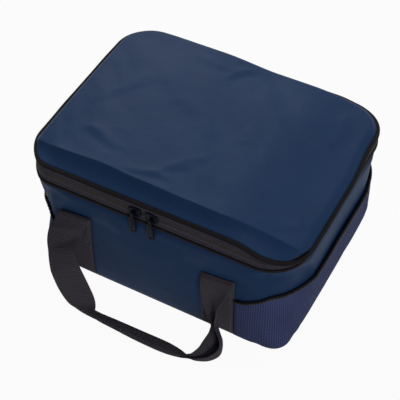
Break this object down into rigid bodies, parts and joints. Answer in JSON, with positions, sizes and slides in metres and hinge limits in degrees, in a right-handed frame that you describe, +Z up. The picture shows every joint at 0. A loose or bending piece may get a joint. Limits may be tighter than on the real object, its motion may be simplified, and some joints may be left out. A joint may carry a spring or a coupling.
{
  "type": "lunch box",
  "caption": "Soft insulated lunch box with a zipped hinged lid, mesh side pockets and webbing carry loops front and back.",
  "frame": {"origin": "middle of the base, on the surface that the box stands on", "axes": "+Z up, the zip sliders and the front carry loop towards -Y, the lid's hinge towards +Y, +X to the right seen from the front"},
  "size_m": [0.3366, 0.3688, 0.154],
  "materials": {
    "navy_polyester": "matt coated plain weave",
    "black_webbing": "matt woven nylon",
    "black_binding": "matt folded tape",
    "zip_tape": "matt twill tape",
    "zip_coil": "dull nylon coil",
    "slider_metal": "black semi-gloss paint",
    "pocket_mesh": "open knitted mesh",
    "foam": "closed-cell foam",
    "lining": "satin silver-grey coated film",
    "base_board": "matt hollow board"
  },
  "bodies": {
    "body": {"base_panel": "navy_polyester", "base_board": "base_board", "base_foam": "foam", "front_panel": "navy_polyester", "back_panel": "navy_polyester", "left_side_panel": "navy_polyester", "right_side_panel": "navy_polyester", "wall_foam": "foam", "body_lining": "lining", "body_piping": "black_binding", "lower_zip_tape": "zip_tape", "lower_zip_coil": "zip_coil", "hinge_strip": "navy_polyester", "left_zip_end_tab": "black_binding", "right_zip_end_tab": "black_binding", "front_left_webbing": "black_webbing", "front_right_webbing": "black_webbing", "back_left_webbing": "black_webbing", "back_right_webbing": "black_webbing", "left_mesh_pocket": "pocket_mesh", "right_mesh_pocket": "pocket_mesh", "left_pocket_binding": "black_binding", "right_pocket_binding": "black_binding"},
    "lid": {"lid_panel": "navy_polyester", "lid_foam": "foam", "lid_lining": "lining", "lid_piping": "black_binding", "upper_zip_tape": "zip_tape", "upper_zip_coil": "zip_coil"},
    "left_slider": {"left_slider": "slider_metal"},
    "right_slider": {"right_slider": "slider_metal"},
    "left_pull": {"left_pull": "slider_metal"},
    "right_pull": {"right_pull": "slider_metal"},
    "front_handle": {"front_handle": "black_webbing"},
    "back_handle": {"back_handle": "black_webbing"}
  },
  "joints": [
    {"name": "lid_hinge", "type": "hinge", "parent": "body", "child": "lid", "pos_m": [0, 0.13, 0.1417], "axis": [-1, 0, 0], "range_deg": [0, 170]},
    {"name": "front_handle_swing", "type": "hinge", "parent": "body", "child": "front_handle", "pos_m": [0, -0.12865, 0.0911], "axis": [-1, 0, 0], "range_deg": [0, 110]},
    {"name": "back_handle_swing", "type": "hinge", "parent": "body", "child": "back_handle", "pos_m": [0, 0.12865, 0.0911], "axis": [-1, 0, 0], "range_deg": [-110, 0]},
    {"name": "left_slider_run", "type": "slide", "parent": "body", "child": "left_slider", "axis": [1, 0, 0], "range_m": [-0.09, 0]},
    {"name": "right_slider_run", "type": "slide", "parent": "body", "child": "right_slider", "axis": [-1, 0, 0], "range_m": [-0.09, 0]},
    {"name": "left_pull_swing", "type": "hinge", "parent": "left_slider", "child": "left_pull", "pos_m": [-0.0105, -0.1329, 0.133], "axis": [-1, 0, 0], "range_deg": [0, 170]},
    {"name": "right_pull_swing", "type": "hinge", "parent": "right_slider", "child": "right_pull", "pos_m": [0.0105, -0.1329, 0.133], "axis": [-1, 0, 0], "range_deg": [0, 170]}
  ]
}
